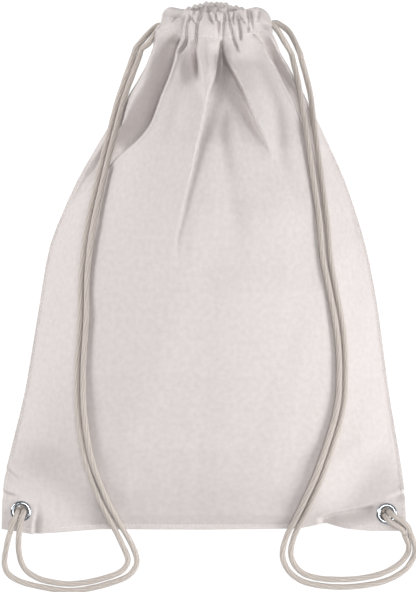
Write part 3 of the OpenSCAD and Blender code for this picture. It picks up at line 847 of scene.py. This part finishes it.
def fold_back(grid, fold_share):
    """Gathers of the back hem, deepest on its inner face, and slight creases of the back."""
    x, y = grid[..., 0].copy(), grid[..., 1].copy()
    rng = np.random.default_rng(11)
    depth = np.zeros(x.shape)
    place = MOUTH_SHIFT - TUNNEL_LENGTH / 2 + 7
    while place < MOUTH_SHIFT + TUNNEL_LENGTH / 2 - 5:
        lean = rng.uniform(-4, 4)
        deep = rng.uniform(3.4, 5.2)
        fan = (place - MOUTH_SHIFT) * rng.uniform(0.5, 0.9)
        points = [
            (place, 236, deep), (place + lean * 0.4, 222, deep), (place + lean, 205, deep + 1),
            (place + lean + fan * 0.45, 170, deep + 2), (place + fan, 130, deep),
            (place + fan * 1.7, 60, 0),
        ]
        depth += fold(x, y, points, 1.7, 1, 0)
        place += rng.uniform(3.8, 6.2)
    # Over the cords, no pleat is deeper than the room left in the tunnel
    place_along = np.r_[np.full(PANEL_ROWS, -1.0), [along for along, *_ in hem_section(False)[1:]]]
    over_cords = 1 - ease((np.abs(place_along) - 0.5) / 0.2)[:, None]
    room = 2.3 - 1.3 * np.linspace(-1, 1, COLUMNS) ** 2
    depth += over_cords * (room * np.tanh(depth / room) - depth)
    hem = np.arange(len(grid)) >= PANEL_ROWS
    inner = hem & (fold_share < 1)
    rim = hem & (np.arange(len(grid)) > PANEL_ROWS + OUTER_ROWS - 8)
    grid[..., 2] -= depth * inner[:, None]
    grid[..., 2] += depth * (~hem)[:, None] * ease((1 - np.abs(across(x, np.minimum(y, 200)))) / 0.2)
    grid[..., 2] += 0.5 * depth * (hem & ~inner)[:, None]
    grid[..., 1] -= 0.55 * depth * rim[:, None]
    grid[..., 2] = np.maximum(LOWEST, grid[..., 2] - corner_drop(x, y, 2 * LAYER_GAP))
    return grid


def clear_of_eyelets(faces, points):
    """Which faces stay once the cloth is punched through for the eyelet barrels."""
    centres = points[faces].mean(axis=1)
    keep = np.ones(len(faces), bool)
    for at in (LEFT_EYELET, RIGHT_EYELET):
        keep &= np.hypot(centres[:, 0] - at[0], centres[:, 1] - at[1]) > PUNCH_D / 2
    return keep


def lay_under_strands(grid):
    """Keeps the front below the strands that lie on it, each in a groove of its own width."""
    reach = CORD_D / 2 + 1.3
    for route in (LEFT_INNER, LEFT_OUTER, RIGHT_INNER, RIGHT_OUTER):
        path = smooth_path(route)[::2]
        low, high = path.min(axis=0) - 6, path.max(axis=0) + 6
        near = (grid[..., 0] > low[0]) & (grid[..., 0] < high[0]) & (grid[..., 1] < high[1])
        points = grid[near]
        gaps = np.hypot(points[:, None, 0] - path[:, 0], points[:, None, 1] - path[:, 1])
        closest = gaps.argmin(axis=1)
        gap = gaps.min(axis=1)
        under = path[closest, 2] - np.sqrt(np.maximum(0, reach**2 - gap**2))
        limit = np.where(gap < reach + 2.5, under + 3 * np.maximum(0, gap - reach), 1e3)
        points[:, 2] = np.minimum(points[:, 2], limit)
        grid[near] = points
    return grid


def make_cloth(front):
    grid, fold_share, flat_u, flat_v = cloth_sheet(front)
    grid = fold_front(grid, fold_share) if front else fold_back(grid, fold_share)
    grid = soften(grid, 2)
    if front:
        grid = lay_under_strands(grid)
    rows, columns = grid.shape[:2]
    faces = grid_faces(rows, columns)
    uvs = grid_uvs(rows, columns, flat_u, flat_v)
    points = grid.reshape(-1, 3)
    keep = clear_of_eyelets(faces, points)
    faces, uvs = faces[keep], uvs[keep]
    if not front:
        faces, uvs = faces[:, ::-1], uvs[:, ::-1]
    side = "front" if front else "back"
    mesh = new_mesh(f"{side}_cloth", points, faces, uvs.reshape(-1, 2))
    piece = dress(mesh, CANVAS)
    thickness = piece.modifiers.new("cloth thickness", "SOLIDIFY")
    thickness.thickness = CLOTH * MM
    thickness.offset = -1
    thickness.use_even_offset = False
    return piece, grid


front_cloth, front_grid = make_cloth(True)
back_cloth, back_grid = make_cloth(False)
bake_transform(front_cloth)
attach(back_cloth, "bag")
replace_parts(front_cloth, "front_panel", "front_hem_tunnel")
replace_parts(back_cloth, "back_panel", "back_hem_tunnel")

# ---------------------------------------------------------------- stitching

STITCH_LENGTH = 2.4
STITCH_GAP = 1.1
STITCH_D = 0.55


def stitches(name, path, lift):
    """A row of lockstitches along a path, each a short thread that dips in at its ends."""
    run = np.r_[0, np.cumsum(np.linalg.norm(np.diff(path, axis=0), axis=1))]
    points, faces = [], []
    sides, rings = 8, 7
    for start in np.arange(1, run[-1] - STITCH_LENGTH, STITCH_LENGTH + STITCH_GAP):
        at = start + STITCH_LENGTH * np.linspace(0, 1, rings)
        line = np.column_stack([np.interp(at, run, path[:, k]) for k in range(3)])
        arch = np.sin(np.linspace(0, math.pi, rings))
        line = line + np.array(lift) * (arch * 0.9 - 0.35)[:, None]
        tangent, normal = frames_along(line)
        side = np.cross(tangent, normal)
        turn = 2 * math.pi * np.arange(sides) / sides
        r = STITCH_D / 2 * (0.45 + 0.55 * arch)[:, None]
        ring = line[:, None] + (r * np.cos(turn))[..., None] * normal[:, None]
        ring = ring + (r * np.sin(turn))[..., None] * side[:, None]
        first = len(points) * sides * rings
        points.append(ring.reshape(-1, 3))
        faces.extend((grid_faces(rings, sides, wrap=True) + first).tolist())
        faces.append([first + k for k in range(sides)][::-1])
        faces.append([first + (rings - 1) * sides + k for k in range(sides)])
    return dress(new_mesh(name, np.vstack(points), faces), THREAD)


SIDE_SEAM = 0.988  # where the side seams are sewn, as a share of the bag's half-width


def seam_path(u):
    y = np.linspace(BOTTOM_Y + 8, 182, 120)
    x = (left_x(y) + right_x(y)) / 2 + u * (right_x(y) - left_x(y)) / 2
    return np.column_stack([x, y, seam_z(x, y) + LAYER_GAP - corner_drop(x, y)])


def make_stitching():
    hem_row = PANEL_ROWS + 4
    front = stitches("front_hem_stitches", front_grid[hem_row, 6:-6], (0, 0, 0.45))
    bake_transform(front)
    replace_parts(front, "front_hem_stitching")
    back = stitches("back_hem_stitches", back_grid[hem_row, 6:-6], (0, 0, -0.7))
    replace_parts(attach(back, "bag"), "back_hem_stitching")
    for side, u in (("left", -SIDE_SEAM), ("right", SIDE_SEAM)):
        seam = stitches(f"{side}_seam_stitches", seam_path(u), (0, 0, 0.5))
        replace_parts(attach(seam, "bag"), f"{side}_seam_stitching")
    x = np.linspace(-165, 165, 200)
    y = BOTTOM_Y + 4 + table(x / 177.5, BOTTOM_WAVE)
    z = seam_z(x, y) + LAYER_GAP - corner_drop(x, y)
    bottom = stitches("bottom_seam_stitches", np.column_stack([x, y, z]), (0, 0, 0.5))
    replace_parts(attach(bottom, "bag"), "bottom_seam_stitching")


make_stitching()

# ---------------------------------------------------------------- eyelets and knots


RING_SIDES = 96


def lathe(name, profile, at):
    """A ring turned round a vertical axis from a closed profile of (radius, height) points."""
    turn = 2 * math.pi * np.arange(RING_SIDES) / RING_SIDES
    profile = np.array(profile, float)
    closed = np.vstack([profile, profile[:1]])
    rings = np.stack([
        at[0] + closed[:, :1] * np.cos(turn),
        at[1] + closed[:, :1] * np.sin(turn),
        np.repeat(closed[:, 1:], RING_SIDES, axis=1),
    ], axis=-1)
    obj = new_mesh(name, rings.reshape(-1, 3), grid_faces(len(closed), RING_SIDES, wrap=True))
    merge = obj.modifiers.new("close profile", "WELD")
    merge.merge_threshold = 0.01 * MM
    return obj


def eyelet_profile():
    """The rolled flange over the cloth, the barrel through it and its flared foot."""
    hole, rim = EYELET_HOLE_D / 2, EYELET_D / 2
    top = TAB_Z + 1.2
    roll = [
        ((hole + rim) / 2 + (rim - hole) / 2 * math.cos(a), top + 1.9 * math.sin(a) ** 0.8)
        for a in np.linspace(0, math.pi, 17)
    ]
    foot = [(hole, TAB_Z - 2.6), (hole + 0.5, TAB_Z - 3), (hole + 0.9, TAB_Z - 2.6), (hole + 0.9, top)]
    return roll + foot


def washer_profile():
    inner, outer = EYELET_HOLE_D / 2 + 0.9, EYELET_D / 2
    low, high = TAB_Z - 2.2, TAB_Z - 1.3
    return [
        (inner, high), (inner, low + 0.2), (inner + 0.3, low),
        (outer - 0.4, low), (outer, low + 0.4), (outer - 0.3, high),
    ]


KNOT_RADIUS = 6
FRAY_FIBRES = 46


def knot_path(at, tail_side):
    """An overhand knot drawn tight: a small trefoil of cord with both ends leaving it."""
    angles = np.linspace(0.3, 2 * math.pi - 0.3, 22)
    size = 0.62**2 * KNOT_RADIUS
    x = size * (np.sin(angles) + 1.1 * np.sin(2 * angles))
    y = size * (np.cos(angles) - 1.1 * np.cos(2 * angles))
    z = 5.3 - 2.2 * np.sin(3 * angles)
    return np.column_stack([at[0] + tail_side * y, at[1] + x, z])


def make_knot(side, at, tail_side):
    """Stopper knot below an eyelet, with two cut ends that fray a little."""
    rng = np.random.default_rng(5 if side == "left" else 6)
    paths = [smooth_path(knot_path(at, tail_side))]
    tails = []
    for spread in (-1, 1):
        tail = [
            (at[0] + tail_side * 2, at[1] + spread * 2.6, 5),
            (at[0] + tail_side * 9, at[1] + spread * 3.2, 3.4),
            (at[0] + tail_side * 17, at[1] + spread * 3.4, 2.9),
            (at[0] + tail_side * 23, at[1] + spread * 4.2, 2.9),
        ]
        tails.append(smooth_path(tail))
    knot = cord_mesh(f"{side}_knot", paths + tails)
    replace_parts(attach(dress(knot, CORD), "bag"), f"{side}_cord_knot")
    points, faces = [], []
    for tail in tails:
        tip, heading = tail[-1], tail[-1] - tail[-3]
        heading = heading / np.linalg.norm(heading)
        for _ in range(FRAY_FIBRES):
            around = rng.normal(0, 1, 3)
            around -= heading * (around @ heading)
            root = tip + 0.7 * around - heading * 1.5
            far = root + heading * rng.uniform(2.6, 4.6) + around * rng.uniform(0.1, 0.6)
            far[2] = max(far[2], 0.4)
            width = np.cross(heading, around)
            width = 0.11 * width / np.linalg.norm(width)
            first = len(points)
            points.extend([root + width, root - width, root + 0.2 * around, far])
            a, b, c, tip_point = range(first, first + 4)
            faces.extend([[a, b, tip_point], [b, c, tip_point], [c, a, tip_point]])
    uvs = np.zeros((3 * len(faces), 2))
    fray = dress(new_mesh(f"{side}_cord_fray", np.array(points), faces, uvs), CORD)
    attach(fray, "bag")


def make_hardware():
    for side, at, tail_side in (("left", LEFT_EYELET, 1), ("right", RIGHT_EYELET, -1)):
        ring = dress(lathe(f"{side}_eyelet_ring", eyelet_profile(), at), NICKEL)
        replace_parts(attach(ring, "bag"), f"{side}_eyelet")
        washer = dress(lathe(f"{side}_eyelet_back", washer_profile(), at), NICKEL)
        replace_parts(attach(washer, "bag"), f"{side}_eyelet_washer")
        make_knot(side, at, tail_side)


make_hardware()

# ---------------------------------------------------------------- studio, in metres

FLOOR_HALF = 6
FLOOR_Z = -0.0004  # just below the bag, so that the two don't share a plane
LIGHT_SIZE = 1.2
LIGHT_AIM = (0, 0, 0.05)


def make_floor():
    """A glowing white table, so that the bag lies on plain white with no shadow."""
    mesh = bpy.data.meshes.new("floor")
    signs = ((-1, -1), (1, -1), (1, 1), (-1, 1))
    corners = [(a * FLOOR_HALF, b * FLOOR_HALF, FLOOR_Z) for a, b in signs]
    mesh.from_pydata(corners, [], [(0, 1, 2, 3)])
    floor = bpy.data.objects.new("floor", mesh)
    bpy.context.scene.collection.objects.link(floor)
    material = bpy.data.materials.new("white_table")
    material.use_nodes = True
    tree = material.node_tree
    tree.nodes.clear()
    glow = add(tree, "Emission")
    glow.inputs["Strength"].default_value = 1.05
    output = add(tree, "OutputMaterial")
    tree.links.new(glow.outputs[0], output.inputs["Surface"])
    mesh.materials.append(material)


def area_light(name, place, power):
    data = bpy.data.lights.new(name, "AREA")
    data.shape = "SQUARE"
    data.size = LIGHT_SIZE
    data.energy = power
    light = bpy.data.objects.new(name, data)
    light.location = place
    direction = Vector(LIGHT_AIM) - Vector(place)
    light.rotation_euler = direction.to_track_quat("-Z", "Y").to_euler()
    bpy.context.scene.collection.objects.link(light)


def make_light():
    world = bpy.data.worlds.new("studio")
    world.use_nodes = True
    background = world.node_tree.nodes["Background"]
    background.inputs["Color"].default_value = (1, 1, 1, 1)
    background.inputs["Strength"].default_value = 0.17
    bpy.context.scene.world = world
    area_light("right", (2.1, -0.7, 0.9), 48)
    area_light("left", (-2.1, 0.6, 0.9), 39)
    area_light("foot", (0, -2.2, 1), 4)
    area_light("over", (0.3, 0, 2.6), 37)


make_floor()
make_light()
bpy.context.scene.view_settings.view_transform = "Standard"

bpy.context.view_layer.update()
